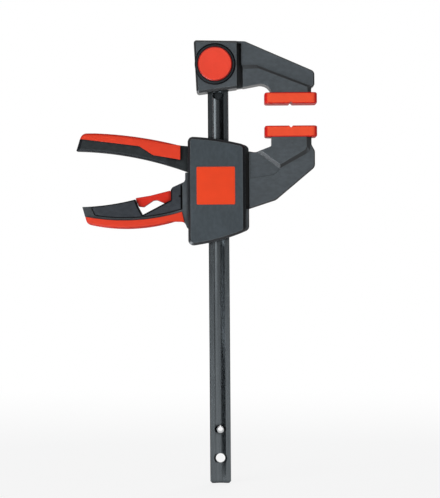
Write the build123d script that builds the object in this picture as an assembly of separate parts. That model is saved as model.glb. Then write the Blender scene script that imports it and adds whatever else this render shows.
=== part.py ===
from build123d import *
import math
import os

# Quick release bar clamp. Millimetres, +Z up along the bar, +X towards the jaws, front is -Y.
# The origin is the middle of the hanging hole at the foot of the bar.

# Fits
running_fit = 0.05       # radial, pins in turning parts
sliding_fit = 0.15       # per side, bar in its guides
seat_fit = 0.1           # per side, loose parts in their seats
touch_gap = 0.08         # between faces of moving parts that bear on each other
tight_fit = 0.02         # radial, pins and plugs that stay in their holes
weld = 0.1               # overlap where two shapes of one piece are joined
past = 200.0             # cutting shapes reach this far past the part

# Bar
bar_width = 16.0
bar_thickness = 7.5
bar_length = 341.2
bar_groove_width = 8.4
bar_groove_depth = 1.6
bar_edge_chamfer = 0.5
bar_end_chamfer = 1.5
end_to_hole = 19.2
hole_pitch = 22.3
hang_hole_radius = 3.6
stop_hole_radius = 2.9
hole_land = 3.4          # straight wall of each hole between its countersinks
hole_rim = 1.5           # width of the countersink at the bar's face
plug_recess = 0.5        # plug of the small upper hole, below the groove's floor

# Stop pin
stop_pin_length = 11.0
stop_pin_bore = 1.9
stop_pin_slit = 0.8
stop_pin_chamfer = 0.4

# Jaws and pads
jaw_reach = 56.0         # middle of the bar to the middle of the pads
jaw_gap = 17.0           # between the pads as drawn
pad_length = 40.4
pad_width = 26.0
pad_height = 8.6
pad_corner_radius = 4.0
pad_edge_bevel = 0.8
pad_notch_width = 3.0
pad_notch_depth = 1.5
foot_length = 26.0       # T foot that holds a pad
foot_width = 18.0
foot_height = 2.6
stem_length = 22.0
stem_width = 13.0
stem_height = 2.0
neck_length = 30.7       # along X, where a jaw meets its pad
neck_offset = 0.45       # the neck's middle lies this much past the pad's middle
arm_half_thickness = 10.0
pad_support_proud = 2.3  # the pad support stands out of the arm by this much
pad_support_root = 0.6   # and starts this deep inside it
arm_edge_bevel = 1.0
arm_tip_length = 2.6     # the arms reach past the necks by this much

# Fixed jaw head, about the middle of the lock hole
pad_face_drop = 29.5     # lock hole down to the fixed pad's face
head_left = 18.5
head_top = 19.6
head_bottom = 21.2
head_half_thickness = 14.0
head_boss_right = 14.5
head_top_fall = 0.7      # the boss's corners lie this much inside its outer lines
head_foot_rise = 3.8
head_foot_inset = 2.0
head_groove_width = 2.7
head_groove_step = 2.0   # the groove is this much wider below its step
head_groove_core = 5.5   # half thickness left between the grooves
head_step_top = 1.0
head_step_foot = -4.0
head_bevel = 1.7
head_corner = 2.2
head_top_rim = 2.4
head_rim_overlap = 3.0   # the rim runs this far over the arm

# Lock button
button_radius = 13.1
button_offset = 2.2      # button's middle to the left of the bar's middle
button_rise = 1.1        # and above the lock hole
button_height = 3.2
button_proud = 2.6
button_travel = 4.0
button_dish = 0.6
button_rim = 1.6
button_edge_bevel = 0.8
button_floor_gap = 0.3   # left under the pressed button
button_side_gap = 0.2    # radial, in the head
collar_bore_gap = 0.4    # radial, between the button and its ring
collar_radius = 15.6
collar_height = 3.0
collar_proud = 0.8
collar_bevel = 0.9
collar_seat_gap = 0.4    # radial, the ring stands clear of the wall round it
lock_pin_radius = 3.5
lock_pin_reach = 0.3     # past the bar's middle plane
lock_pin_chamfer = 0.6
yoke_thickness = 1.8
yoke_half_height = 3.5
yoke_bridge = 2.4
yoke_bar_gap = 0.3
bridge_bar_gap = 0.85
button_spring_wire = 0.6
button_spring_radius = 2.0
button_spring_turns = 2.5
button_spring_cone = 8    # degrees
rear_cap_thickness = 1.6
rear_cap_half_height = 9.0
rear_cap_margin = 1.5
rear_cap_corner = 1.0

# Carriage housing, about the carriage datum on the bar's middle line
pad_face_rise = 50.0     # datum up to the moving pad's face
housing_left = 23.6
housing_right = 23.4
housing_top_left = 42.0
housing_top_middle = 39.8
housing_top_right = 34.6
housing_bottom_left = 42.2
housing_bottom_middle = 38.0
housing_bottom_right = 29.8
housing_corner = 4.0
frame_half_thickness = 11.0
housing_wall = 3.2
cover_thickness = 3.6
cover_right = 20.5
cover_bevel = 2.0
side_groove_core = 5.5   # half thickness left beside the jaw arm
side_groove_width = 3.2
frame_edge_radius = 2.2  # along the right edge, below the jaw arm
side_groove_foot = -14.0
badge_width = 29.5
badge_height = 29.0
badge_left = 16.9
badge_bottom = -10.4
badge_corner = 1.0
badge_thickness = 0.8
badge_proud = 0.15

# Screws, driven from the rear through the frame into the front cover
screw_radius = 1.5
screw_head_radius = 2.8
screw_head_height = 1.8
screw_length = 25.0
screw_boss_radius = 3.4
screw_socket_radius = 1.3
screw_socket_depth = 1.1
screw_sink = 0.2         # heads below the cover's face
screw_places = [(-16.8, 37.4), (15.6, 32.2), (-18.6, -36.6), (15.4, -27.4)]

# Drive lever and plates
pivot_x = 12.0
pivot_z = 22.0
pivot_pin_radius = 3.0
pivot_pin_socket = 2.0   # depth of the pin's ends in the covers
nose_reach = 25.0        # pivot to the middle of the nose
nose_radius = 10.0
lever_swing = 16.0       # degrees
lever_half_thickness = 10.5
lever_root_half = 7.7
lever_taper_left = -40.0   # the lever narrows towards its root between these two
lever_taper_right = -33.0
lever_fork_slot = 4.4    # half width between the fork's cheeks
lever_fork_end = 5.0
lever_fork_left = -11.2   # where the slot between the cheeks starts
nose_width = 12.0
lever_edge_radius = 2.0
lever_end_bevel = 2.4
lever_mouth_floor = 4.8    # opening in the housing that the lever's root swings in
lever_mouth_top = 36.2
lever_mouth_left = -40.0
lever_mouth_right = -15.0
lever_mouth_gap = 0.5    # per side
plate_thickness = 1.8
plate_count = 3
plate_left = 13.6
plate_right = 12.4
plate_half_width = 9.0
plate_bar_fit = 0.2
plate_corner = 1.5

# Drive spring and its bulkhead
spring_seat_height = -2.6
bulkhead_thickness = 3.0
drive_spring_wire = 0.7
drive_spring_radius = 9.6
drive_spring_turns = 3.0

# Brake
brake_pivot_x = 15.5
brake_thickness = 2.5
brake_left = 18.0
brake_tip = 38.6
brake_past_pivot = 1.0
brake_bar_fit = 0.12
brake_half_width = 8.0
brake_tongue_half_width = 4.5
brake_tilt = 1.5         # degrees
brake_room_side = 0.5    # free room round the tongue
brake_room_end = 0.6
brake_room_below = 2.4   # and from the plate's middle down and up
brake_room_above = 3.2
brake_seat_left = 10.0   # seat that the plate's right end tilts in
brake_seat_side = 0.3
brake_seat_end = 1.4
brake_seat_below = 1.6
brake_seat_above = 1.7
brake_spring_x = -14.2
brake_spring_radius = 3.0
brake_spring_wire = 0.5
brake_spring_turns = 5.0
brake_spring_gap = 0.1
floor_height = -24.0     # top of the lower bulkhead

# Trigger
trigger_x = -29.9
trigger_z = -3.6
trigger_pin_radius = 1.5
trigger_hub_radius = 3.2
trigger_half_thickness = 5.5
trigger_slot_gap = 0.4
trigger_lug_foot = -9.1    # underside of the lug that bears on the brake plate's tip
trigger_swing = 9.0      # degrees
trigger_edge_bevel = 0.4

# Grip
grip_half_thickness = 10.5
grip_panel_thickness = 2.6
grip_panel_gap = 0.7
grip_panel_bevel = 0.8
panel_corner = 1.2
panel_notch_bevel = 1.0
panel_pin_hole = 0.75    # radius, for driving out the trigger's pin
soft_half_thickness = 11.2
soft_edge_radius = 2.5
soft_key_height = 2.4    # ribs that hold the soft parts
soft_key_half = 5.0
long_edge = 15.0         # shorter edges of a side are left as they are

# Places that follow from the sizes above
bar_foot = -end_to_hole
lock_hole_height = bar_length - 2 * end_to_hole
datum_height = lock_hole_height - pad_face_drop - jaw_gap - pad_face_rise
head_place = Pos(0, 0, lock_hole_height)
carriage_place = Pos(0, 0, datum_height)
neck_left = jaw_reach + neck_offset - neck_length / 2
neck_right = jaw_reach + neck_offset + neck_length / 2
arm_tip = neck_right + arm_tip_length
support_half_thickness = arm_half_thickness + pad_support_proud
cover_face = frame_half_thickness + cover_thickness
yoke_outer = bar_width / 2 + yoke_bar_gap + yoke_thickness
button_face = -head_half_thickness - button_proud
nose_x = pivot_x - nose_reach * math.cos(math.radians(lever_swing / 2))
nose_z = pivot_z + nose_reach * math.sin(math.radians(lever_swing / 2))
plates_top = nose_z - nose_radius - touch_gap
plates_bottom = plates_top - plate_count * plate_thickness
brake_rise = (brake_tip + brake_pivot_x) * math.sin(math.radians(brake_tilt))
brake_pivot_z = trigger_lug_foot - touch_gap - brake_rise - brake_thickness / 2
bar_guide_width = bar_width + 2 * sliding_fit
bar_guide_thickness = bar_thickness + 2 * sliding_fit
panel_floor = grip_half_thickness - grip_panel_thickness
fixed_neck_end = pad_height - pad_face_drop
moving_neck_end = pad_face_rise - pad_height
groove_right = head_boss_right + head_groove_width
groove_right_low = groove_right + head_groove_step

# Outlines of the fixed jaw about the lock hole: (x, z)
fixed_arm_corners = [
    (31.5, -14.4), (17.5, -17.0), (0, -19.1), (0, head_top - 0.3), (21.1, head_top - 0.8),
    (arm_tip, -4.6), (arm_tip, -15.2), (neck_right, -17.4), (neck_right, fixed_neck_end),
    (neck_left, fixed_neck_end),
]
fixed_arm_radii = [2, 0, 0, 8, 4, 1.5, 1, 0]
fixed_arm_hollow = (38.0, -16.2)    # the arch under the arm passes through this point
fixed_support_foot = [(28.5, 1.6), (70.4, -15.0), (neck_right + 1, -15.6)]
fixed_support_face = [(31.0, -2.4), (68.2, -16.8), (neck_right - 3, -17.5)]
fixed_support_left = [1.6, -3.0]    # heights of the foot and the face at the groove

# Outlines of the carriage about its datum: (x, z), or (x, z, radius) at a rounded corner
moving_arm_corners = [
    (18.0, 31.6, 0), (28.5, 29.6, 6), (neck_left, 34.4, 2.5), (neck_left, moving_neck_end, 0),
    (neck_right, moving_neck_end, 0), (neck_right, 35.4, 3), (arm_tip, 30.5, 4), (arm_tip, 18.0, 5),
    (44.5, -7.0, 6), (18.0, -15.6, 0),
]
moving_support_foot = [(29.1, 30.0), (47.5, 16.6), (66.8, 26.9), (neck_right, 29.6)]
moving_support_face = [(33.7, 30.6), (47.5, 20.1), (66.9, 31.5), (67.8, 34.0)]
arm_hollow_corners = [(24.2, 9.3), (41.9, 11.9), (44.3, 13.2), (47.5, 16.6), (29.1, 30.0)]
arm_hollow_depth = 0.4
grip_heel = [(-22, 14.5), (-22, -30.5), (-24.6, -28.0), (-26.5, -23.4), (-34, -23.2)]
grip_belly = [(-34, -23.2), (-64.6, -28.4), (-95.4, -26.2)]
grip_end = [(-95.4, -26.2), (-101.4, -24.9), (-105.1, -11.5)]
grip_top = [(-105.1, -11.5), (-84.0, -9.8), (-64.5, -6.0)]
grip_root = [(-37.2, 1.0), (-35.6, 3.2), (-25.8, 7.6), (-25.8, 14.5), (-22, 14.5)]
grip_heel_radii = [0, 2, 4]
grip_end_radii = [5]
grip_root_radii = [2, 3, 0.8]
strip_top = [(-102.9, -19.0), (-66.0, -22.0), (-28.4, -15.8)]
strip_right_end = (-26.6, -24)
panel_bottom = [(-95.6, -18.4), (-66.0, -20.3), (-27.8, -13.9)]
panel_left_end = (-98.6, -12)
notch_corners = [
    (-64.9, -5.0, 0), (-62.2, -11.8, 0), (-58.9, -18.0, 0.6), (-42.2, -9.3, 0),
    (-36.9, -6.7, 0.8), (-36.9, 3.0, 0), (-64.9, 3.0, 0),
]
trigger_corners = [
    (-63.6, -7.2, 0.5), (-64.2, -4.8, 0.5), (-52.9, -3.0, 0), (-38.0, 0.7, 0.8),
    (trigger_x + 1, trigger_z + trigger_hub_radius - 0.2, 0), (trigger_x, trigger_z, 0),
    (trigger_x - trigger_hub_radius, -8.6, 1.0), (-36.0, trigger_lug_foot, 0),
    (-41.8, trigger_lug_foot, 1.0), (-47.6, -6.6, 1.5), (-50.4, -6.9, 1.5), (-57.8, -11.9, 1.2),
    (-61.7, -11.5, 1.0),
]
lever_under = [(-109.5, 31.8), (-68.1, 27.4), (-25.8, 15.8)]
lever_root = [
    (-25.8, 15.8), (-20.5, 14.1), (-18.0, 14.2), (-17.2, 16.7), (-10.6, 16.7), (-10.6, 31.4),
    (-22.5, 34.8), (-30.3, 35.5),
]
lever_back = [(-30.3, 35.5), (-62, 42.0), (-95, 45.2)]
lever_end = [(-95, 45.2), (-104.6, 45.2), (-106.8, 40.6), (-109.5, 31.8)]
lever_root_radii = [1, 1, 0.5, 0, 2, 4]
lever_end_radii = [5, 0]
cheek_corners = [
    (-14, 17.8, 0), (pivot_x - 8, pivot_z - lever_fork_end, 4),
    (pivot_x, pivot_z - lever_fork_end, 0), (pivot_x, pivot_z + lever_fork_end, 0),
    (pivot_x - 10, pivot_z + lever_fork_end + 1.5, 6), (-14, 33.0, 0),
]
soft_divide = [(-112, 41.5), (-106.6, 40.8), (-61, 35.0), (-50.4, 28.0), (-29.4, 24.4)]
soft_divide_radii = [0, 6, 6]
soft_key_middle = -66.0     # the soft parts' ribs lie about this place along the grip
soft_key_length = 64.0
lever_waist = 31.0         # heights that part each side's upper edges from its lower ones
soft_back_waist = 38.0
strip_waist = -23.0
panel_waist = -12.0


def across(sketch, half_thickness):
    # A side profile made solid, even on both sides of the bar's middle plane.
    return extrude(Plane.XZ * sketch, amount=half_thickness, both=True)


def between(sketch, front, back):
    # A side profile made solid from Y = front to Y = back.
    return extrude(Plane.XZ.offset(-back) * sketch, amount=back - front)


def rounded(*corners):
    # A closed outline with a radius of its own at each corner: (x, z, radius).
    points = [(x, z) for x, z, radius in corners]
    radii = [radius for x, z, radius in corners]
    return make_face(FilletPolyline(*points, radius=radii, close=True))


def block(x0, x1, y0, y1, z0, z1):
    middle = Pos((x0 + x1) / 2, (y0 + y1) / 2, (z0 + z1) / 2)
    return middle * Box(x1 - x0, y1 - y0, z1 - z0)


def rod(radius, x, z, front, back):
    # A round bar along Y.
    return between(Pos(x, z) * Circle(radius), front, back)


def left_of(x):
    # The half plane left of x, which cuts outlines.
    return Pos(x - past / 2, 0) * Rectangle(past, 2 * past)


def side_edges(solid):
    # The edges round the front and the rear face.
    faces = solid.faces().sort_by(Axis.Y)
    return faces[0].edges() + faces[-1].edges()


def coil(radius, wire_radius, height, turns, foot, cone_angle=0):
    # A round-wire spring that stands on foot along +Z.
    path = Helix(height / turns, height, radius, center=foot, cone_angle=cone_angle)
    section = Plane(origin=path @ 0, z_dir=path % 0) * RegularPolygon(wire_radius, 4)
    return sweep(section, path=path, is_frenet=True)


def cross_hole(radius, height):
    # A hole through the bar, countersunk where it meets the grooves.
    rim = radius + hole_rim
    land = hole_land / 2
    face = bar_thickness / 2
    half = make_face(Polyline(
        (0, -past), (rim, -past), (rim, -face), (radius, -land),
        (radius, land), (rim, face), (rim, past), (0, past), (0, -past),
    ))
    return Pos(0, 0, height) * revolve(half, Axis.Y)


def make_rail():
    groove_radius = (bar_groove_width ** 2 / 4 + bar_groove_depth ** 2) / (2 * bar_groove_depth)
    groove_middle = bar_thickness / 2 - bar_groove_depth + groove_radius
    section = chamfer(Rectangle(bar_width, bar_thickness).vertices(), bar_edge_chamfer)
    for side in (-1, 1):
        section -= Pos(0, side * groove_middle) * Circle(groove_radius)
    bar = extrude(Pos(0, 0, bar_foot) * section, amount=bar_length)
    corners = bar.edges().filter_by(Axis.Y).group_by(Axis.X)
    bar = chamfer(corners[0] + corners[-1], bar_end_chamfer)
    for foot_height, radius in ((0, hang_hole_radius), (hole_pitch, stop_hole_radius)):
        bar -= cross_hole(radius, foot_height)
        bar -= cross_hole(radius, lock_hole_height - foot_height)
    return bar


def make_stop_pin():
    half = stop_pin_length / 2
    tube = rod(stop_hole_radius - tight_fit, 0, 0, -half, half)
    tube = chamfer(side_edges(tube), stop_pin_chamfer)
    tube -= rod(stop_pin_bore, 0, 0, -half, half)
    tube -= block(-stop_pin_slit / 2, stop_pin_slit / 2, -half, half, 0, stop_hole_radius)
    return Pos(0, 0, hole_pitch) * tube


def make_plug():
    # It closes the small hole under the fixed jaw, where no stop pin is fitted.
    half = bar_thickness / 2 - bar_groove_depth - plug_recess
    return rod(stop_hole_radius - tight_fit, 0, lock_hole_height - hole_pitch, -half, half)


def make_pad():
    # A pad with its clamping face up at Z = 0.
    body = extrude(Pos(0, 0, -pad_height) * RectangleRounded(pad_length, pad_width, pad_corner_radius),
                   amount=pad_height)
    ends = body.faces().sort_by(Axis.Z)
    body = chamfer(ends[0].edges() + ends[-1].edges(), pad_edge_bevel)
    notch = make_face(Polyline((-pad_notch_width / 2, 0), (pad_notch_width / 2, 0),
                               (0, -pad_notch_depth), (-pad_notch_width / 2, 0)))
    body -= across(notch, pad_width)
    stem = block(-stem_length / 2, stem_length / 2, -stem_width / 2, stem_width / 2,
                 -pad_height, -pad_height + stem_height)
    foot = block(-foot_length / 2, foot_length / 2, -foot_width / 2, foot_width / 2,
                 -pad_height + stem_height, -pad_height + stem_height + foot_height)
    return body - stem - foot


def make_pad_foot():
    # The T foot that a pad clips over, standing on a jaw's top at Z = 0.
    stem = block(-stem_length / 2, stem_length / 2, -stem_width / 2, stem_width / 2, 0, stem_height)
    foot = block(-foot_length / 2, foot_length / 2, -foot_width / 2, foot_width / 2,
                 stem_height, stem_height + foot_height)
    return stem + foot


def pad_supports(foot, face, arm_outline):
    # The flared seats of a pad, standing proud of both sides of its arm.
    seats = Part()
    for side in (-1, 1):
        base = Plane.XZ.offset(side * (arm_half_thickness - pad_support_root)) * make_face(Polyline(*foot))
        top = Plane.XZ.offset(side * support_half_thickness) * make_face(Polyline(*face))
        seats += loft([base, top], ruled=True) & across(arm_outline, support_half_thickness)
    return seats


def make_fixed_jaw():
    # Boss that holds the bar
    boss_outline = rounded(
        (-head_left, head_top, head_corner), (head_boss_right, head_top - head_top_fall, 0),
        (head_boss_right, head_foot_rise - head_bottom, 0),
        (head_foot_inset - head_left, -head_bottom, head_corner),
    )
    boss = across(boss_outline, head_half_thickness)
    bevelled = [e for e in side_edges(boss) if e.center().X < head_boss_right - weld]
    boss = chamfer(bevelled, head_bevel)
    # Arm
    outer = FilletPolyline(*fixed_arm_corners, radius=fixed_arm_radii)
    arch = ThreePointArc(fixed_arm_corners[-1], fixed_arm_hollow, fixed_arm_corners[0])
    arm_outline = make_face(outer + arch)
    core = across(arm_outline, head_groove_core)
    arm_side = make_face(Polyline(
        (groove_right, past), (groove_right, head_step_top), (groove_right_low, head_step_foot),
        (groove_right_low, -past), (past, -past), (past, past), (groove_right, past),
    ))
    arm = across(arm_outline & arm_side, arm_half_thickness)
    arm = chamfer(side_edges(arm), arm_edge_bevel)
    rim = block(0, groove_right_low + head_rim_overlap, -arm_half_thickness, arm_half_thickness,
                head_top - head_top_rim, head_top) & across(arm_outline, arm_half_thickness)
    # Pad support, standing proud of the arm
    corners = []
    for points, left_height in zip((fixed_support_foot, fixed_support_face), fixed_support_left):
        right = points[-1][0]
        corners.append([(groove_right_low, left_height), *points, (right, fixed_neck_end),
                        (groove_right_low, fixed_neck_end), (groove_right_low, left_height)])
    jaw = core + arm + rim + boss
    jaw += pad_supports(corners[0], corners[1], arm_outline)
    jaw += Pos(jaw_reach, 0, fixed_neck_end) * Rot(180, 0, 0) * make_pad_foot()
    # Bar pocket, yoke and button recesses
    jaw -= block(-bar_guide_width / 2, bar_guide_width / 2, -bar_guide_thickness / 2,
                 bar_guide_thickness / 2, -past, past)
    yoke_x = yoke_outer + seat_fit
    yoke_z = yoke_half_height + seat_fit
    recess_floor = -(head_half_thickness - collar_height + collar_proud)
    jaw -= block(-yoke_x, yoke_x, -head_half_thickness, head_half_thickness, -yoke_z, yoke_z)
    jaw -= rod(collar_radius + collar_seat_gap, -button_offset, button_rise, -head_half_thickness,
               recess_floor)
    cup_floor = button_face + button_height + button_travel + button_floor_gap
    jaw -= rod(button_radius + button_side_gap, -button_offset, button_rise, -head_half_thickness,
               cup_floor)
    cap_x = yoke_outer + rear_cap_margin + seat_fit
    cap_z = rear_cap_half_height + seat_fit
    jaw -= block(-cap_x, cap_x, head_half_thickness - rear_cap_thickness, head_half_thickness,
                 -cap_z, cap_z)
    return jaw


def make_button():
    # The red cap, with its face towards the front.
    face = button_face
    cap = rod(button_radius, -button_offset, button_rise, face, face + button_height)
    cap = chamfer(cap.faces().sort_by(Axis.Y)[0].edges(), button_edge_bevel)
    hollow_radius = button_radius - button_rim
    ball = (hollow_radius ** 2 + button_dish ** 2) / (2 * button_dish)
    return cap - Pos(-button_offset, face + button_dish - ball, button_rise) * Sphere(ball)


def make_collar():
    back = collar_height - collar_proud - head_half_thickness
    ring = rod(collar_radius, -button_offset, button_rise, back - collar_height, back)
    ring = chamfer(ring.faces().sort_by(Axis.Y)[0].edges(), collar_bevel)
    bore = button_radius + collar_bore_gap
    return ring - rod(bore, -button_offset, button_rise, back - collar_height, back)


def make_yoke():
    # Two legs from the cap, past the bar, to the bridge behind it.
    start = button_face + button_height
    inner = yoke_outer - yoke_thickness
    outer = yoke_outer
    bridge = bar_thickness / 2 + bridge_bar_gap
    end = bridge + yoke_bridge
    yoke = block(-outer, outer, bridge, end, -yoke_half_height, yoke_half_height)
    for side in (-1, 1):
        leg_x = sorted((side * inner, side * outer))
        yoke += block(leg_x[0], leg_x[1], start, end, -yoke_half_height, yoke_half_height)
    return yoke


def make_lock_pin():
    back = bar_thickness / 2 + bridge_bar_gap
    pin = rod(lock_pin_radius, 0, 0, -lock_pin_reach, back)
    return chamfer(pin.faces().sort_by(Axis.Y)[0].edges(), lock_pin_chamfer)


def make_button_spring():
    start = bar_thickness / 2 + bridge_bar_gap + yoke_bridge + button_spring_wire
    height = head_half_thickness - rear_cap_thickness - button_spring_wire - start
    wire = coil(button_spring_radius, button_spring_wire, height, button_spring_turns, (0, 0, 0),
                cone_angle=button_spring_cone)
    return Pos(0, start, 0) * Rot(-90, 0, 0) * wire


def make_rear_cap():
    half_width = yoke_outer + rear_cap_margin
    cap = block(-half_width, half_width, head_half_thickness - rear_cap_thickness,
                head_half_thickness, -rear_cap_half_height, rear_cap_half_height)
    return fillet(cap.edges().filter_by(Axis.Y), rear_cap_corner)


def housing_profile(right_edge):
    # The housing from the side, cut straight at its right edge.
    top_left = (-housing_left, housing_top_left)
    top_right = (housing_right, housing_top_right)
    bottom_right = (housing_right, -housing_bottom_right)
    bottom_left = (-housing_left, -housing_bottom_left)
    outline = make_face([
        ThreePointArc(top_left, (0, housing_top_middle), top_right),
        Line(top_right, bottom_right),
        ThreePointArc(bottom_right, (0, -housing_bottom_middle), bottom_left),
        Line(bottom_left, top_left),
    ])
    outline &= left_of(right_edge)
    return fillet(outline.vertices(), housing_corner)


def chamber_profile():
    # The hollow inside the frame's walls, with bosses for the screws left standing.
    inner = offset(housing_profile(cover_right), -housing_wall)
    for x, z in screw_places:
        inner -= Pos(x, z) * Circle(screw_boss_radius)
    return inner


def grip_outline():
    # The grip with its soft strip, from the left end to inside the housing.
    heel = FilletPolyline(*grip_heel, radius=grip_heel_radii)
    left_end = FilletPolyline(*grip_end, radius=grip_end_radii)
    shoulder = Line(grip_top[-1], grip_root[0])
    root = FilletPolyline(*grip_root, radius=grip_root_radii)
    return make_face([heel, ThreePointArc(*grip_belly), left_end, ThreePointArc(*grip_top), shoulder, root])


def strip_outline():
    # The soft strip's region: the grip below one long curve.
    right = strip_right_end[0]
    below = Polyline(strip_top[-1], strip_right_end, (right, -past), (-past, -past),
                     (-past, strip_top[0][1]), strip_top[0])
    return make_face([ThreePointArc(*strip_top), below]) & grip_outline()


def soft_key_room():
    # The stretch of the grip and the lever that has a rib under its soft part.
    return Pos(soft_key_middle, 0) * Rectangle(soft_key_length, 2 * past)


def keel_outline():
    # The rib under the grip that the soft strip is moulded over.
    lowered = Pos(0, -soft_key_height) * (grip_outline() - strip_outline())
    return strip_outline() & lowered & soft_key_room()


def panel_outline(inset):
    # The side panels' region, open along the grip's top edge.
    right = panel_bottom[-1][0]
    above = Polyline(panel_bottom[-1], (right, past), (panel_left_end[0], past), panel_left_end,
                     panel_bottom[0])
    region = make_face([ThreePointArc(*panel_bottom), above])
    region = fillet(region.vertices().group_by(Axis.Y)[0], panel_corner)
    return offset(region, -inset) & grip_outline()


def notch_outline():
    # The gap in the grip that the trigger bridges.
    return rounded(*notch_corners)


def trigger_profile():
    return rounded(*trigger_corners) + Pos(trigger_x, trigger_z) * Circle(trigger_hub_radius)


def trigger_room():
    # The swept room of the trigger inside the grip's core.
    pressed = trigger_profile()
    room = notch_outline() + Pos(trigger_x, trigger_z) * Circle(trigger_hub_radius + trigger_slot_gap)
    pivot = Pos(trigger_x, trigger_z)
    steps = 3
    for step in range(steps + 1):
        angle = trigger_swing * step / steps
        turned = pivot * Rot(0, 0, angle) * pivot.inverse() * pressed
        room += offset(turned, trigger_slot_gap)
    return room


def up_to(corners, height):
    # The closed outline of what lies between a row of corners and a height above them.
    left = corners[0]
    return [(left[0], height), *corners, (corners[-1][0], height), (left[0], height)]


def make_frame():
    # Jaw arm with its pad support
    arm_outline = rounded(*moving_arm_corners)
    arm = across(arm_outline, arm_half_thickness)
    arm = chamfer(side_edges(arm), arm_edge_bevel)
    hollow = up_to(arm_hollow_corners, past)
    for front, back in ((-past, arm_hollow_depth - arm_half_thickness),
                        (arm_half_thickness - arm_hollow_depth, past)):
        arm -= between(make_face(Polyline(*hollow)), front, back)
    arm += pad_supports(up_to(moving_support_foot, moving_neck_end),
                        up_to(moving_support_face, moving_neck_end), arm_outline)
    arm += Pos(jaw_reach, 0, moving_neck_end) * make_pad_foot()
    # Housing walls
    outline = housing_profile(housing_right)
    frame = across(outline, frame_half_thickness)
    right_edges = [e for e in side_edges(frame) if e.center().X > housing_right - weld]
    frame = fillet(right_edges, frame_edge_radius)
    side_groove = block(cover_right, past, side_groove_core, past, side_groove_foot, past)
    frame -= side_groove + side_groove.mirror(Plane.XZ)
    arm_left = cover_right + side_groove_width
    frame += arm & block(arm_left, past, -past, past, -past, past)
    frame += across(arm_outline, side_groove_core) & block(0, arm_left + weld, -past, past, -past, past)
    # Grip
    grip = across(grip_outline() - strip_outline(), grip_half_thickness)
    frame += grip + across(keel_outline(), soft_key_half)
    # Chamber with its two bulkheads
    chamber = across(chamber_profile(), frame_half_thickness)
    for top in (spring_seat_height, floor_height):
        chamber -= block(-past, past, -past, past, top - bulkhead_thickness, top)
    frame -= chamber
    frame -= block(-bar_guide_width / 2, bar_guide_width / 2, -bar_guide_thickness / 2,
                   bar_guide_thickness / 2, -past, past)
    # Mouth for the lever's root, cheeks stay at both sides
    root_room = lever_root_half + lever_mouth_gap
    frame -= block(lever_mouth_left, lever_mouth_right, -root_room, root_room, lever_mouth_floor,
                   lever_mouth_top)
    frame -= block(lever_mouth_left, -housing_left, -past, past, grip_heel[0][1], lever_mouth_top)
    # Panel recesses
    for front, back in ((-grip_half_thickness, -panel_floor), (panel_floor, grip_half_thickness)):
        frame -= between(panel_outline(0), front, back)
    # Trigger room, pin hole and brake slot
    frame -= across(trigger_room(), trigger_half_thickness + trigger_slot_gap)
    frame -= across(notch_outline(), past)
    frame -= rod(trigger_pin_radius, trigger_x, trigger_z, -panel_floor, panel_floor)
    tongue_room = brake_tongue_half_width + brake_room_side
    frame -= block(-brake_tip - brake_room_end, lever_mouth_right, -tongue_room, tongue_room,
                   brake_pivot_z - brake_room_below, brake_pivot_z + brake_room_above)
    seat_room = brake_half_width + brake_seat_side
    frame -= block(brake_seat_left, brake_pivot_x + brake_seat_end, -seat_room, seat_room,
                   brake_pivot_z - brake_seat_below, brake_pivot_z + brake_seat_above)
    # Screw holes
    for x, z in screw_places:
        frame -= rod(screw_radius, x, z, -frame_half_thickness, frame_half_thickness)
    return frame


def make_cover(front):
    # The front cover, or its mirror image with the screw heads' counterbores.
    cover = between(housing_profile(cover_right), -cover_face, -frame_half_thickness)
    cover = chamfer(cover.faces().sort_by(Axis.Y)[0].edges(), cover_bevel)
    socket = -frame_half_thickness - pivot_pin_socket
    cover -= rod(pivot_pin_radius, pivot_x, pivot_z, socket, -frame_half_thickness)
    for x, z in screw_places:
        if front:
            tip = cover_face - screw_head_height - screw_sink - screw_length
            cover -= rod(screw_radius, x, z, min(tip, -frame_half_thickness), -frame_half_thickness)
        else:
            cover -= rod(screw_radius, x, z, -cover_face, -frame_half_thickness)
            cover -= rod(screw_head_radius + seat_fit, x, z, -cover_face,
                         -cover_face + screw_head_height + screw_sink)
    if front:
        cover -= between(badge_outline(), -cover_face, -cover_face + badge_thickness - badge_proud)
        return cover
    return cover.mirror(Plane.XZ)


def badge_outline():
    middle = (badge_width / 2 - badge_left, badge_height / 2 + badge_bottom)
    return Pos(*middle) * RectangleRounded(badge_width, badge_height, badge_corner)


def make_badge():
    face = -cover_face - badge_proud
    return between(badge_outline(), face, face + badge_thickness)


def make_screws():
    screws = []
    top = cover_face - screw_sink
    for x, z in screw_places:
        shank = rod(screw_radius, x, z, top - screw_head_height - screw_length, top)
        head = rod(screw_head_radius, x, z, top - screw_head_height, top)
        socket = between(Pos(x, z) * RegularPolygon(screw_socket_radius, 6), top - screw_socket_depth, top)
        screws.append(head + shank - socket)
    return screws


def lever_outline():
    # The whole lever as seen from the side, soft back included.
    root = FilletPolyline(*lever_root, radius=lever_root_radii)
    end = FilletPolyline(*lever_end, radius=lever_end_radii)
    return make_face([ThreePointArc(*lever_under), root, ThreePointArc(*lever_back), end])


def soft_outline():
    # The soft back's region of the lever.
    divide = FilletPolyline(*soft_divide, radius=soft_divide_radii)
    left = soft_divide[0]
    right = soft_divide[-1]
    above = Polyline(right, (right[0], past), (left[0], past), left)
    return make_face([divide, above]) & lever_outline()


def spine_outline():
    # The rib on the lever that the soft back is moulded over.
    raised = Pos(0, soft_key_height) * (lever_outline() - soft_outline())
    return soft_outline() & raised & soft_key_room()


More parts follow.
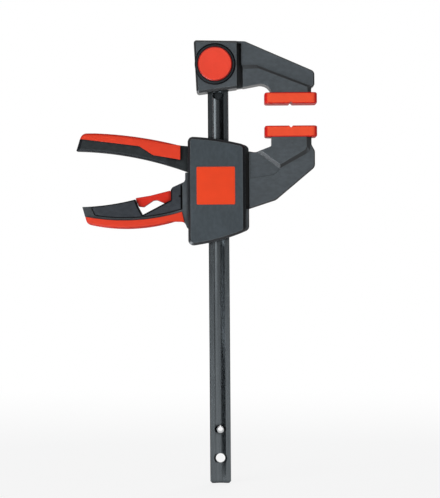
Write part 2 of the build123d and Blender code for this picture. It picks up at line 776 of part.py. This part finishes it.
def root_plan():
    # Seen from above, the lever narrows towards its root.
    taper = Polyline((lever_taper_left - 1, lever_half_thickness), (lever_taper_left, lever_half_thickness),
                     (lever_taper_right, lever_root_half), (past, lever_root_half), (past, 0),
                     (lever_taper_left - 1, 0), (lever_taper_left - 1, lever_half_thickness))
    half = make_face(taper)
    return extrude(half + half.mirror(Plane.XZ), amount=past)


def make_lever():
    body = lever_outline() - soft_outline()
    lever = across(body & left_of(lever_taper_left), lever_half_thickness)
    left_end = lever.faces().sort_by(Axis.X)[0]
    lever = chamfer(left_end.edges().filter_by(Axis.Y, reverse=True), lever_end_bevel)
    bottom = [e for e in side_edges(lever) if e.center().Z < lever_waist and e.length > long_edge]
    lever = fillet(bottom, lever_edge_radius)
    lever += across(body - left_of(lever_taper_left - weld), lever_half_thickness) & root_plan()
    lever += across(spine_outline(), soft_key_half)
    # Fork cheeks past the bar to the pivot
    cheek = rounded(*cheek_corners) + Pos(pivot_x, pivot_z) * Circle(lever_fork_end)
    nose = Pos(nose_x, nose_z) * Circle(nose_radius)
    nose &= Pos(nose_x, nose_z - nose_radius) * Rectangle(nose_width, nose_width)
    fork = across(cheek + nose, lever_root_half)
    fork -= block(lever_fork_left, past, -lever_fork_slot, lever_fork_slot, 0, past)
    lever = lever + fork
    return lever - rod(pivot_pin_radius + running_fit, pivot_x, pivot_z, -past, past)


def make_soft_back():
    soft = across(soft_outline(), soft_half_thickness)
    top = [e for e in side_edges(soft) if e.center().Z > soft_back_waist and e.length > long_edge]
    soft = fillet(top, soft_edge_radius)
    return soft - across(spine_outline(), soft_key_half)


def make_soft_strip():
    strip = across(strip_outline(), soft_half_thickness)
    bottom = [e for e in side_edges(strip) if e.center().Z < strip_waist and e.length > long_edge]
    strip = fillet(bottom, soft_edge_radius)
    return strip - across(keel_outline(), soft_key_half)


def make_panel():
    above_mouth = Pos(0, lever_mouth_floor + past / 2) * Rectangle(2 * past, past)
    outline = panel_outline(grip_panel_gap) + (panel_outline(0) & above_mouth) - notch_outline()
    panel = between(outline, -grip_half_thickness, -panel_floor)
    edges = panel.faces().sort_by(Axis.Y)[0].edges()
    walls = [e for e in edges if on_notch_wall(e.center())]
    panel = chamfer(walls, panel_notch_bevel)
    edges = panel.faces().sort_by(Axis.Y)[0].edges()
    top = [e for e in edges if e.center().Z > panel_waist and e.length > long_edge]
    panel = chamfer(top, grip_panel_bevel)
    return panel - rod(panel_pin_hole, trigger_x, trigger_z, -grip_half_thickness, -panel_floor)


def on_notch_wall(point):
    # True on the notch's left wall, from its bottom corner up to the grip's top.
    left, bottom = notch_corners[0], notch_corners[2]
    return left[0] < point.X < bottom[0] and bottom[1] < point.Z < left[1] - weld


def make_plates():
    plates = []
    window_x = bar_width / 2 + plate_bar_fit
    window_y = bar_thickness / 2 + plate_bar_fit
    for number in range(plate_count):
        top = plates_top - number * plate_thickness
        plate = block(-plate_left, plate_right, -plate_half_width, plate_half_width,
                      top - plate_thickness, top)
        plate = chamfer(plate.edges().filter_by(Axis.Z), plate_corner)
        plates.append(plate - block(-window_x, window_x, -window_y, window_y, -past, past))
    return plates


def make_brake_plate():
    window_x = bar_width / 2 + brake_bar_fit
    window_y = bar_thickness / 2 + plate_bar_fit
    half = brake_thickness / 2
    plate = block(-brake_left, brake_pivot_x + brake_past_pivot, -brake_half_width, brake_half_width,
                  -half, half)
    plate += block(-brake_tip, weld - brake_left, -brake_tongue_half_width, brake_tongue_half_width,
                   -half, half)
    plate -= block(-window_x, window_x, -window_y, window_y, -past, past)
    about = Pos(brake_pivot_x, 0, 0)
    tilted = about * Rot(0, brake_tilt, 0) * about.inverse() * plate
    return Pos(0, 0, brake_pivot_z) * tilted


def make_trigger():
    trigger = across(trigger_profile(), trigger_half_thickness)
    trigger = chamfer(side_edges(trigger), trigger_edge_bevel)
    return trigger - rod(trigger_pin_radius + running_fit, trigger_x, trigger_z, -past, past)


def make_drive_spring():
    foot = spring_seat_height + drive_spring_wire
    height = plates_bottom - drive_spring_wire - foot
    return coil(drive_spring_radius, drive_spring_wire, height, drive_spring_turns, (0, 0, foot))


def make_brake_spring():
    foot = floor_height + brake_spring_wire
    rise = (brake_pivot_x - brake_spring_x) * math.tan(math.radians(brake_tilt))
    top = brake_pivot_z - brake_thickness / 2 + rise - brake_spring_gap
    height = top - brake_spring_wire - foot
    return coil(brake_spring_radius, brake_spring_wire, height, brake_spring_turns,
                (brake_spring_x, 0, foot))


def save(name, place, *solids):
    placed = [place * solid for solid in solids]
    piece = placed[0] if len(placed) == 1 else Compound(children=placed)
    export_step(piece, f"parts/{name}.step")


def main():
    os.makedirs("parts", exist_ok=True)
    panel = make_panel()
    save("rail", Pos(), make_rail())
    save("stop_pin", Pos(), make_stop_pin())
    save("hole_plug", Pos(), make_plug())
    save("fixed_jaw", head_place, make_fixed_jaw())
    save("fixed_jaw_pad", head_place * Pos(jaw_reach, 0, -pad_face_drop) * Rot(180, 0, 0), make_pad())
    save("lock_button", head_place, make_button())
    save("button_collar", head_place, make_collar())
    save("lock_yoke", head_place, make_yoke())
    save("lock_pin", head_place, make_lock_pin())
    save("button_spring", head_place, make_button_spring())
    save("head_rear_cap", head_place, make_rear_cap())
    save("carriage_frame", carriage_place, make_frame())
    save("moving_jaw_pad", carriage_place * Pos(jaw_reach, 0, pad_face_rise), make_pad())
    save("front_cover", carriage_place, make_cover(True))
    save("rear_cover", carriage_place, make_cover(False))
    save("badge_plate", carriage_place, make_badge())
    save("cover_screws", carriage_place, *make_screws())
    save("drive_lever", carriage_place, make_lever())
    save("lever_soft_grip", carriage_place, make_soft_back())
    save("lever_pivot_pin", carriage_place, rod(pivot_pin_radius, pivot_x, pivot_z,
         -frame_half_thickness - pivot_pin_socket, frame_half_thickness + pivot_pin_socket))
    save("drive_plates", carriage_place, *make_plates())
    save("drive_spring", carriage_place, make_drive_spring())
    save("brake_plate", carriage_place, make_brake_plate())
    save("brake_spring", carriage_place, make_brake_spring())
    save("release_trigger", carriage_place, make_trigger())
    save("trigger_pin", carriage_place, rod(trigger_pin_radius, trigger_x, trigger_z,
         -panel_floor, panel_floor))
    save("grip_soft_strip", carriage_place, make_soft_strip())
    save("grip_front_panel", carriage_place, panel)
    save("grip_rear_panel", carriage_place, panel.mirror(Plane.XZ))


main()
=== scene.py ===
import bpy
import math
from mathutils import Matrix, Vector


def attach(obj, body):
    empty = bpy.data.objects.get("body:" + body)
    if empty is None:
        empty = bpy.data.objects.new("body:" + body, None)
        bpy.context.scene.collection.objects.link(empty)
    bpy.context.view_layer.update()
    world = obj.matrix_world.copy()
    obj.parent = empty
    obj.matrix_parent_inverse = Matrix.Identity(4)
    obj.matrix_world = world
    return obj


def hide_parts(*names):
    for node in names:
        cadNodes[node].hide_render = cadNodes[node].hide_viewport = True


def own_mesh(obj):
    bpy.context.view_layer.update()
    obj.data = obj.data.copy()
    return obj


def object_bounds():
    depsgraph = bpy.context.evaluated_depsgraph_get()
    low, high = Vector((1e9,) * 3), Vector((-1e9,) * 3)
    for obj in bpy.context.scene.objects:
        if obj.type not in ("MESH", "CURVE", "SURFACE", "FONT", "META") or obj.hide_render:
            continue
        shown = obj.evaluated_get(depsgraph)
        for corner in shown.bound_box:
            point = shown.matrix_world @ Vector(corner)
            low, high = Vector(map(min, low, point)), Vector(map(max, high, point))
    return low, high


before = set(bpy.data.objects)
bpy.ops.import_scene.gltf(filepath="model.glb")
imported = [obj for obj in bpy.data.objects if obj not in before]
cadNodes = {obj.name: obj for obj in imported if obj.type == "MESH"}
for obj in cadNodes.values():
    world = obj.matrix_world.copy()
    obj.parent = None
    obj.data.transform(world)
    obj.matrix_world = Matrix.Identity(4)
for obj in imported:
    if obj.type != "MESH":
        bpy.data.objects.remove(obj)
cadBounds = [list(corner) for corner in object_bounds()]
print("stage: frame loaded with", len(cadNodes), "nodes")

# from where a measure starts to count to where it counts in full
noiseSpan = (0.3, 0.7)  # a noise rarely goes further
grainSpan = (0.35, 0.65)
stainSpan = (0.45, 0.75)
scuffSpan = (0.66, 0.72)  # the few highest places of a noise only
openSpan = (0.45, 0.96)  # from an inner corner to the open
edgeSpan = (0.985, 0.90)  # cosine between a face and its rounded edge
edgeSamples = 4
creviceShadeSamples = 8
mixInputs = (0, 6, 7)  # a mix node's factor and two colours, past its numbers and vectors
mixOutput = 2


def newMaterial(name):
    material = bpy.data.materials.new(name)
    material.use_nodes = True
    tree = material.node_tree
    tree.nodes.clear()
    output = tree.nodes.new("ShaderNodeOutputMaterial")
    return material, tree, output.inputs["Surface"]


def startFinish(name):
    material, tree, surface = newMaterial(name)
    shader = tree.nodes.new("ShaderNodeBsdfPrincipled")
    tree.links.new(shader.outputs["BSDF"], surface)
    return material, tree, shader


def feed(tree, socket, value):
    # a number or a colour is set on the socket, another node's output is linked to it
    if isinstance(value, (int, float)):
        socket.default_value = value
    elif isinstance(value, tuple):
        socket.default_value = (*value, 1.0)
    else:
        tree.links.new(value, socket)


def calculate(tree, operation, *values):
    node = tree.nodes.new("ShaderNodeMath")
    node.operation = operation
    for socket, value in zip(node.inputs, values):
        feed(tree, socket, value)
    return node.outputs["Value"]


def mixColours(tree, factor, first, second, blend="MIX"):
    node = tree.nodes.new("ShaderNodeMix")
    node.data_type = "RGBA"
    node.blend_type = blend
    for index, value in zip(mixInputs, (factor, first, second)):
        feed(tree, node.inputs[index], value)
    return node.outputs[mixOutput]


def mapRange(tree, value, fromLow, fromHigh, toLow=0.0, toHigh=1.0):
    node = tree.nodes.new("ShaderNodeMapRange")
    node.inputs["From Min"].default_value = fromLow
    node.inputs["From Max"].default_value = fromHigh
    node.inputs["To Min"].default_value = toLow
    node.inputs["To Max"].default_value = toHigh
    tree.links.new(value, node.inputs["Value"])
    return node.outputs["Result"]


def swing(tree, value, span, middle, reach):
    # a noise turned into a value that goes as far to both sides of its middle
    return mapRange(tree, value, *span, middle - reach, middle + reach)


def dim(tree, colour, amount):
    grey = tree.nodes.new("ShaderNodeCombineColor")
    for socket in grey.inputs:
        tree.links.new(amount, socket)
    return mixColours(tree, 1.0, colour, grey.outputs["Color"], "MULTIPLY")


def objectCoords(tree, stretch=(1, 1, 1)):
    coords = tree.nodes.new("ShaderNodeTexCoord")
    mapping = tree.nodes.new("ShaderNodeMapping")
    mapping.inputs["Scale"].default_value = stretch
    tree.links.new(coords.outputs["Object"], mapping.inputs["Vector"])
    return mapping.outputs["Vector"]


def coordinate(tree, kind, axis):
    # one number of where a point is, kind Object, or of where its face looks, kind Normal
    coords = tree.nodes.new("ShaderNodeTexCoord")
    split = tree.nodes.new("ShaderNodeSeparateXYZ")
    tree.links.new(coords.outputs[kind], split.inputs["Vector"])
    return split.outputs[axis]


def noise(tree, coords, scale, detail=2.0, roughness=0.5):
    texture = tree.nodes.new("ShaderNodeTexNoise")
    texture.inputs["Scale"].default_value = scale
    texture.inputs["Detail"].default_value = detail
    texture.inputs["Roughness"].default_value = roughness
    tree.links.new(coords, texture.inputs["Vector"])
    return texture.outputs["Fac"]


def sideShare(tree, faceTilt, sideTilt):
    # 0 where a face looks to the front or rear, with its normal's Y past faceTilt, 1 under sideTilt;
    # this share brings in the painted side shade and the side roughness
    tilt = calculate(tree, "ABSOLUTE", coordinate(tree, "Normal", "Y"))
    return mapRange(tree, tilt, faceTilt, sideTilt)


def partingLine(tree, width):
    # the fine ridge in the part's middle plane, where the halves of a mould meet
    away = calculate(tree, "ABSOLUTE", coordinate(tree, "Object", "Y"))
    return mapRange(tree, away, width, width / 2)


def handleShare(tree, start, full, shade):
    # darker towards the handle: 1 up to start, shade past full
    return mapRange(tree, coordinate(tree, "Object", "X"), start, full, 1.0, shade)


def paintedCreviceShade(tree, reach, depth):
    # painted shade: 1 in the open, darker in narrow gaps and inner corners, where shade falls
    shade = tree.nodes.new("ShaderNodeAmbientOcclusion")
    shade.samples = creviceShadeSamples
    shade.inputs["Distance"].default_value = reach
    return mapRange(tree, shade.outputs["AO"], *openSpan, 1 - depth, 1.0)


def softEdges(tree, radius):
    bevel = tree.nodes.new("ShaderNodeBevel")
    bevel.samples = edgeSamples
    bevel.inputs["Radius"].default_value = radius
    return bevel.outputs["Normal"]


def paintedEdgeMask(tree, bevelNormal):
    # 1 along sharp edges, where the edge colour is painted in: a painted highlight on most pieces, a
    # painted dark outline on the grip panels
    geometry = tree.nodes.new("ShaderNodeNewGeometry")
    dot = tree.nodes.new("ShaderNodeVectorMath")
    dot.operation = "DOT_PRODUCT"
    tree.links.new(bevelNormal, dot.inputs[0])
    tree.links.new(geometry.outputs["Normal"], dot.inputs[1])
    return mapRange(tree, dot.outputs["Value"], *edgeSpan)


def bump(tree, height, distance, strength, normal):
    node = tree.nodes.new("ShaderNodeBump")
    node.inputs["Distance"].default_value = distance
    node.inputs["Strength"].default_value = strength
    tree.links.new(height, node.inputs["Height"])
    tree.links.new(normal, node.inputs["Normal"])
    return node.outputs["Normal"]


def mouldedFinish(name, look):
    material, tree, shader = startFinish(name)
    coords = objectCoords(tree)
    sideways = sideShare(tree, look["faceTilt"], look["sideTilt"])
    rounded = softEdges(tree, look["edgeRadius"])
    grain = noise(tree, coords, look["grainScale"], detail=3.0, roughness=0.6)
    cloud = noise(tree, coords, look["cloudScale"])
    flow = noise(tree, objectCoords(tree, look["flowStretch"]), look["flowScale"])

    speckle = swing(tree, grain, grainSpan, 1, look["speckle"])
    shade = swing(tree, cloud, noiseSpan, 1, look["cloud"])
    streak = swing(tree, flow, grainSpan, 1, look["flow"])
    amount = calculate(tree, "MULTIPLY", calculate(tree, "MULTIPLY", speckle, shade), streak)
    if "handleShade" in look:
        handle = handleShare(tree, look["handleStart"], look["handleFull"], look["handleShade"])
        amount = calculate(tree, "MULTIPLY", amount, handle)
    # painted shade: faces that turn sideways take the darker side colour
    colour = mixColours(tree, sideways, look["faceColour"], look["paintedSideShadeColour"])
    colour = dim(tree, colour, amount)
    # painted highlight along sharp edges, in the edge colour (a painted dark outline on the grip panels)
    paintedEdgeAmount = calculate(tree, "MULTIPLY", paintedEdgeMask(tree, rounded), look["paintedEdgeShare"])
    colour = mixColours(tree, paintedEdgeAmount, colour, look["paintedEdgeAndScuffColour"])
    # painted shade in gaps and inner corners
    colour = dim(tree, colour, paintedCreviceShade(tree, look["creviceShadeReach"], look["creviceShadeDepth"]))
    tree.links.new(colour, shader.inputs["Base Color"])

    rough = mapRange(tree, sideways, 0, 1, look["faceRoughness"], look["sideRoughness"])
    rough = calculate(tree, "ADD", rough, swing(tree, grain, noiseSpan, 0, look["roughSwing"]))
    tree.links.new(rough, shader.inputs["Roughness"])
    shader.inputs["Specular IOR Level"].default_value = look["specular"]
    ridge = calculate(tree, "MULTIPLY", partingLine(tree, look["ridgeWidth"]), look["ridgeHeight"])
    relief = calculate(tree, "ADD", grain, ridge)
    normal = bump(tree, relief, look["grainDepth"], look["grainStrength"], rounded)
    tree.links.new(normal, shader.inputs["Normal"])
    return material


def steelFinish(name, look):
    material, tree, shader = startFinish(name)
    rounded = softEdges(tree, look["edgeRadius"])
    along = objectCoords(tree, look["stretch"])
    lines = noise(tree, along, look["lineScale"], detail=4.0, roughness=0.65)
    stain = noise(tree, objectCoords(tree), look["stainScale"], detail=3.0)
    scuffs = noise(tree, objectCoords(tree, look["scuffStretch"]), look["scuffScale"], roughness=0.7)

    colour = mixColours(tree, mapRange(tree, lines, *noiseSpan), look["darkColour"], look["lightColour"])
    stained = mapRange(tree, stain, *stainSpan, 0, look["stain"])
    colour = mixColours(tree, stained, colour, look["stainColour"])
    worn = mapRange(tree, scuffs, *scuffSpan, 0, look["scuff"])
    # painted highlight along sharp edges, and real scuff wear, both in the edge colour
    paintedEdgeAmount = calculate(tree, "MULTIPLY", paintedEdgeMask(tree, rounded), look["paintedEdgeShare"])
    colour = mixColours(tree, calculate(tree, "MAXIMUM", paintedEdgeAmount, worn), colour, look["paintedEdgeAndScuffColour"])
    # painted shade in gaps and inner corners
    colour = dim(tree, colour, paintedCreviceShade(tree, look["creviceShadeReach"], look["creviceShadeDepth"]))
    tree.links.new(colour, shader.inputs["Base Color"])

    rough = swing(tree, lines, noiseSpan, look["roughness"], look["roughSwing"])
    tree.links.new(rough, shader.inputs["Roughness"])
    shader.inputs["Metallic"].default_value = look["metallic"]
    normal = bump(tree, lines, look["lineDepth"], look["lineStrength"], rounded)
    tree.links.new(normal, shader.inputs["Normal"])
    return material


def dress(finish, *nodeNames):
    for nodeName in nodeNames:
        mesh = cadNodes[nodeName].data
        mesh.materials.clear()
        mesh.materials.append(finish)


# in all looks, colours are linear, lengths are metres and scales count per metre
# the bar with its pins, plates and springs
# the edge colours are a painted highlight along sharp edges, and on steel also the colour of scuff wear
barLook = {
    "darkColour": (0.100, 0.114, 0.122), "lightColour": (0.158, 0.176, 0.188), "metallic": 1.0,
    "roughness": 0.26, "roughSwing": 0.06,
    "stretch": (1, 1, 0.012), "lineScale": 2600, "lineDepth": 0.00002, "lineStrength": 0.35,
    "stainScale": 40, "stain": 0.25, "stainColour": (0.060, 0.068, 0.076),
    "edgeRadius": 0.0003, "paintedEdgeShare": 0.35, "paintedEdgeAndScuffColour": (0.27, 0.29, 0.30),
    "scuffStretch": (0.15, 1, 1), "scuffScale": 700, "scuff": 0.25,
    "creviceShadeReach": 0.003, "creviceShadeDepth": 0.75,
}
pinLook = dict(barLook, darkColour=(0.42, 0.43, 0.44), lightColour=(0.60, 0.61, 0.62),
               roughness=0.28, stretch=(1, 0.05, 1), paintedEdgeAndScuffColour=(0.75, 0.75, 0.76), stain=0.15,
               stainColour=(0.30, 0.30, 0.31), creviceShadeReach=0.001)
plateLook = dict(barLook, darkColour=(0.10, 0.10, 0.105), lightColour=(0.17, 0.17, 0.175),
                 roughness=0.34, stretch=(0.05, 1, 1), stain=0.5, stainColour=(0.10, 0.075, 0.06))
blackPinLook = dict(plateLook, darkColour=(0.012, 0.012, 0.013), lightColour=(0.022, 0.022, 0.024),
                    stain=0.2, paintedEdgeShare=0.1)
springLook = dict(pinLook, roughness=0.2, stretch=(1, 1, 1), lineScale=900)
dress(steelFinish("phosphatedBarSteel", barLook), "rail")
dress(steelFinish("zincSteel", pinLook), "stop_pin", "lock_yoke", "lock_pin", "cover_screws",
      "lever_pivot_pin")
dress(steelFinish("hardenedPlateSteel", plateLook), "drive_plates", "brake_plate")
dress(steelFinish("blackPinSteel", blackPinLook), "trigger_pin")
dress(steelFinish("springSteel", springLook), "drive_spring", "brake_spring", "button_spring")
print("stage: steels dressed")

# the springs, each copied into a piece of its own on its body, with its joint, axis, fixed end and
# travel listed
coilLooks = {
    "driveCoil": {"node": "drive_spring", "body": "carriage", "joint": "plates_slide",
                  "axis": (0, 0, 1), "fixedEnd": "low", "travel": 0.00697},
    "brakeCoil": {"node": "brake_spring", "body": "carriage", "joint": "brake_tilt",
                  "axis": (0, 0, 1), "fixedEnd": "low", "travel": 0.00072},
    "buttonCoil": {"node": "button_spring", "body": "bar", "joint": "button_press",
                   "axis": (0, 1, 0), "fixedEnd": "high", "travel": 0.004},
}


def windCoil(name, look):
    coil = bpy.data.objects.new(name, cadNodes[look["node"]].data.copy())
    bpy.context.scene.collection.objects.link(coil)
    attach(coil, look["body"])
    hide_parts(look["node"])
    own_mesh(coil)


for coilName, coilLook in coilLooks.items():
    windCoil(coilName, coilLook)
print("stage: springs wound")

# housing, jaws and head
# the side colours here and below are painted shade, darker where a face turns sideways
jawLook = {
    "faceColour": (0.051, 0.061, 0.069), "paintedSideShadeColour": (0.014, 0.016, 0.018),
    "faceTilt": 0.93, "sideTilt": 0.80,
    "paintedEdgeAndScuffColour": (0.20, 0.22, 0.23), "paintedEdgeShare": 0.45, "edgeRadius": 0.0005,
    "grainScale": 2400, "grainDepth": 0.00004, "grainStrength": 0.35, "speckle": 0.10,
    "cloudScale": 60, "cloud": 0.08, "flowStretch": (0.6, 1, 1), "flowScale": 420, "flow": 0.10,
    "faceRoughness": 0.50, "sideRoughness": 0.45, "roughSwing": 0.04, "specular": 0.45,
    "creviceShadeReach": 0.005, "creviceShadeDepth": 0.9, "ridgeWidth": 0.00025, "ridgeHeight": 1.5,
}
frameLook = dict(jawLook, handleStart=-0.034, handleFull=-0.042, handleShade=0.42)
coverLook = dict(jawLook, faceColour=(0.038, 0.049, 0.057), paintedSideShadeColour=(0.006, 0.007, 0.009),
                 specular=0.35, paintedEdgeShare=0.6, edgeRadius=0.0006, flowStretch=(1, 1, 0.6))
dress(mouldedFinish("jawNylon", jawLook), "fixed_jaw", "head_rear_cap")
dress(mouldedFinish("frameNylon", frameLook), "carriage_frame")
dress(mouldedFinish("coverNylon", coverLook), "front_cover", "rear_cover")

# lever, grip panels, the ring round the button and the plug in the bar
leverLook = dict(jawLook, faceColour=(0.025, 0.029, 0.031), paintedSideShadeColour=(0.007, 0.008, 0.010),
                 paintedEdgeAndScuffColour=(0.10, 0.11, 0.12), paintedEdgeShare=0.15, specular=0.07,
                 faceRoughness=0.48, sideRoughness=0.62, creviceShadeReach=0.003, creviceShadeDepth=0.6)
# the panels' dark edge colour is a painted dark outline along their edges
panelLook = dict(leverLook, faceColour=(0.037, 0.042, 0.049), paintedSideShadeColour=(0.004, 0.005, 0.006),
                 paintedEdgeAndScuffColour=(0.005, 0.006, 0.007), paintedEdgeShare=0.9, edgeRadius=0.0008)
ringLook = dict(leverLook, faceColour=(0.026, 0.030, 0.033))
dress(mouldedFinish("leverNylon", leverLook), "drive_lever")
dress(mouldedFinish("panelNylon", panelLook), "grip_front_panel", "grip_rear_panel")
dress(mouldedFinish("ringNylon", ringLook), "button_collar", "hole_plug")

# red parts
padLook = {
    "faceColour": (0.80, 0.078, 0.031), "paintedSideShadeColour": (0.60, 0.012, 0.009),
    "faceTilt": 0.95, "sideTilt": 0.80,
    "paintedEdgeAndScuffColour": (0.88, 0.16, 0.10), "paintedEdgeShare": 0.15, "edgeRadius": 0.0007,
    "grainScale": 1900, "grainDepth": 0.00003, "grainStrength": 0.22, "speckle": 0.03,
    "cloudScale": 35, "cloud": 0.03, "flowStretch": (1, 1, 1), "flowScale": 120, "flow": 0.02,
    "faceRoughness": 0.52, "sideRoughness": 0.50, "roughSwing": 0.04, "specular": 0.1,
    "creviceShadeReach": 0.003, "creviceShadeDepth": 0.5, "ridgeWidth": 0.0003, "ridgeHeight": 2.0,
}
softGripLook = dict(padLook, faceColour=(0.66, 0.048, 0.021), paintedSideShadeColour=(0.50, 0.026, 0.013),
                    paintedEdgeAndScuffColour=(0.80, 0.10, 0.06), faceRoughness=0.6, sideRoughness=0.6,
                    specular=0.07, grainScale=2600)
buttonLook = dict(padLook, faceColour=(0.76, 0.056, 0.028), paintedSideShadeColour=(0.40, 0.014, 0.010),
                  faceRoughness=0.42, sideRoughness=0.38, specular=0.25)
triggerLook = dict(buttonLook, faceColour=(0.62, 0.020, 0.009), paintedSideShadeColour=(0.40, 0.012, 0.010))
badgeLook = dict(buttonLook, faceColour=(0.76, 0.054, 0.012), faceRoughness=0.35, grainStrength=0.05)
dress(mouldedFinish("padElastomer", padLook), "fixed_jaw_pad", "moving_jaw_pad")
dress(mouldedFinish("gripElastomer", softGripLook), "lever_soft_grip", "grip_soft_strip")
dress(mouldedFinish("buttonPlastic", buttonLook), "lock_button")
dress(mouldedFinish("triggerPlastic", triggerLook), "release_trigger")
dress(mouldedFinish("badgePlastic", badgeLook), "badge_plate")
print("stage: mouldings dressed")


def makeSheet(name, width, height, material):
    corners = [(side * width / 2, end * height / 2, 0)
               for side, end in ((-1, -1), (1, -1), (1, 1), (-1, 1))]
    mesh = bpy.data.meshes.new(name)
    mesh.from_pydata(corners, [], [(0, 1, 2, 3)])
    mesh.materials.append(material)
    sheet = bpy.data.objects.new(name, mesh)
    bpy.context.scene.collection.objects.link(sheet)
    return sheet


def pointAt(item, place, aim):
    item.location = place
    way = Vector(aim) - Vector(place)
    item.rotation_euler = way.to_track_quat("-Z", "Y").to_euler()


def seenRays(tree):
    # 1 for what the camera, a reflection or a clear piece sees, 0 for what lights the object
    path = tree.nodes.new("ShaderNodeLightPath")
    seen = calculate(tree, "MAXIMUM", path.outputs["Is Camera Ray"], path.outputs["Is Glossy Ray"])
    return calculate(tree, "MAXIMUM", seen, path.outputs["Is Transmission Ray"])


def mixShaders(tree, share, first, second, surface):
    mix = tree.nodes.new("ShaderNodeMixShader")
    tree.links.new(share, mix.inputs["Fac"])
    tree.links.new(first, mix.inputs[1])
    tree.links.new(second, mix.inputs[2])
    tree.links.new(mix.outputs["Shader"], surface)


# near the object the floor shows some of its own shade, and from far on it is plain white
floorLook = {"height": cadBounds[0][2], "gap": 0.0002, "size": 12.0, "colour": (0.86, 0.86, 0.86),
             "near": 0.35, "far": 1.1, "nearWhite": 0.82}


def makeFloor(look):
    material, tree, surface = newMaterial("paleFloor")
    diffuse = tree.nodes.new("ShaderNodeBsdfDiffuse")
    diffuse.inputs["Color"].default_value = (*look["colour"], 1)
    white = tree.nodes.new("ShaderNodeEmission")
    coords = tree.nodes.new("ShaderNodeTexCoord")
    length = tree.nodes.new("ShaderNodeVectorMath")
    length.operation = "LENGTH"
    tree.links.new(coords.outputs["Object"], length.inputs[0])
    away = mapRange(tree, length.outputs["Value"], look["near"], look["far"], look["nearWhite"], 1.0)
    share = calculate(tree, "MULTIPLY", seenRays(tree), away)
    mixShaders(tree, share, diffuse.outputs["BSDF"], white.outputs["Emission"], surface)
    floor = makeSheet("floor", look["size"], look["size"], material)
    floor.location = (0, 0, look["height"] - look["gap"])


objectMiddle = (0.0, 0.0, 0.17)
lampLooks = {
    "keyBox": {"place": (-0.95, -1.20, 0.40), "size": (0.9, 1.1), "power": 10.4},
    "fillBox": {"place": (0.60, -1.5, 0.25), "size": (0.5, 1.0), "power": 6.6},
    "lowBox": {"place": (-1.0, -1.05, 0.06), "size": (1.1, 0.3), "power": 8.0},
    "backBox": {"place": (0.3, 1.4, 0.8), "size": (1.0, 0.8), "power": 10},
}


def makeLamp(name, look):
    # a soft lamp that reflections don't see
    lamp = bpy.data.lights.new(name, "AREA")
    lamp.shape = "RECTANGLE"
    lamp.size, lamp.size_y = look["size"]
    lamp.energy = look["power"]
    holder = bpy.data.objects.new(name, lamp)
    pointAt(holder, look["place"], objectMiddle)
    holder.visible_camera = False
    holder.visible_glossy = False
    bpy.context.scene.collection.objects.link(holder)


cardLooks = {
    # dark cards, which keep the object's edges dark before the white wall
    "leftCard": {"place": (-0.68, -0.42, 0.35), "aim": (0, 0, 0.35), "size": (1.5, 1.2), "glow": 0.02},
    "rightCard": {"place": (0.80, 0.05, 0.3), "aim": (0, 0, 0.3), "size": (0.8, 1.2), "glow": 0.02},
    "frontCard": {"place": (0.15, -1.0, 0.60), "aim": (0, 0, 0.55), "size": (0.95, 1.0), "glow": 0.25},
    # pale cards, for the streak on the upper bar and for slopes that look down to the left
    "streakCard": {"place": (0.70, -0.58, 0.325), "aim": (0, 0, 0.325), "size": (0.45, 0.19),
                   "glow": 3.2},
    "lowCard": {"place": (-0.24, -0.12, -0.012), "aim": (-0.24, -0.12, 1.0), "size": (0.30, 0.36),
                "glow": 12.5, "tint": (0.94, 1.0, 1.05)},
    # a dark card that hides lowCard from the bar's foot
    "shieldCard": {"place": (-0.05, -0.08, 0.026), "aim": (-1, -0.08, 0.026), "size": (0.30, 0.09),
                   "glow": 0.02},
}


def makeCard(name, look):
    # a studio card that only reflections see
    material, tree, surface = newMaterial(name + "Felt")
    glow = tree.nodes.new("ShaderNodeEmission")
    glow.inputs["Color"].default_value = (*look.get("tint", (1, 1, 1)), 1)
    glow.inputs["Strength"].default_value = look["glow"]
    tree.links.new(glow.outputs["Emission"], surface)
    card = makeSheet(name, *look["size"], material)
    pointAt(card, look["place"], look["aim"])
    card.visible_camera = False
    card.visible_diffuse = False
    card.visible_transmission = False
    card.visible_shadow = False


worldLook = {"fillStrength": 0.28, "fillColour": (0.97, 0.985, 1.0), "wallColour": (1, 1, 1)}


def makeWorld(look):
    world = bpy.data.worlds.new("studio")
    bpy.context.scene.world = world
    world.use_nodes = True
    tree = world.node_tree
    tree.nodes.clear()
    output = tree.nodes.new("ShaderNodeOutputWorld")
    fill = tree.nodes.new("ShaderNodeBackground")
    fill.inputs["Color"].default_value = (*look["fillColour"], 1)
    fill.inputs["Strength"].default_value = look["fillStrength"]
    wall = tree.nodes.new("ShaderNodeBackground")
    wall.inputs["Color"].default_value = (*look["wallColour"], 1)
    mixShaders(tree, seenRays(tree), fill.outputs["Background"], wall.outputs["Background"],
               output.inputs["Surface"])


# the render is taller than wide, so viewHeight is what the sensor's size covers; lean is in degrees
cameraLook = {"aim": (0.0007, -0.010, 0.1617), "viewHeight": 0.3835, "lean": 0.41,
              "lens": 150, "sensor": 36, "near": 0.01, "far": 50}


def makeCamera(look):
    camera = bpy.data.objects.new("camera", bpy.data.cameras.new("camera"))
    camera.data.lens = look["lens"]
    camera.data.sensor_width = look["sensor"]
    camera.data.clip_start = look["near"]
    camera.data.clip_end = look["far"]
    distance = look["viewHeight"] * look["lens"] / look["sensor"]
    aimX, aimY, aimZ = look["aim"]
    camera.location = (aimX, aimY - distance, aimZ)
    camera.rotation_euler = (math.radians(90), math.radians(look["lean"]), 0)
    bpy.context.scene.collection.objects.link(camera)
    bpy.context.scene.camera = camera


makeFloor(floorLook)
for lampName, lampLook in lampLooks.items():
    makeLamp(lampName, lampLook)
for cardName, cardLook in cardLooks.items():
    makeCard(cardName, cardLook)
makeWorld(worldLook)
makeCamera(cameraLook)
bpy.context.scene.view_settings.view_transform = "Standard"
print("stage: floor, lamps and camera placed")

print("stage: done")
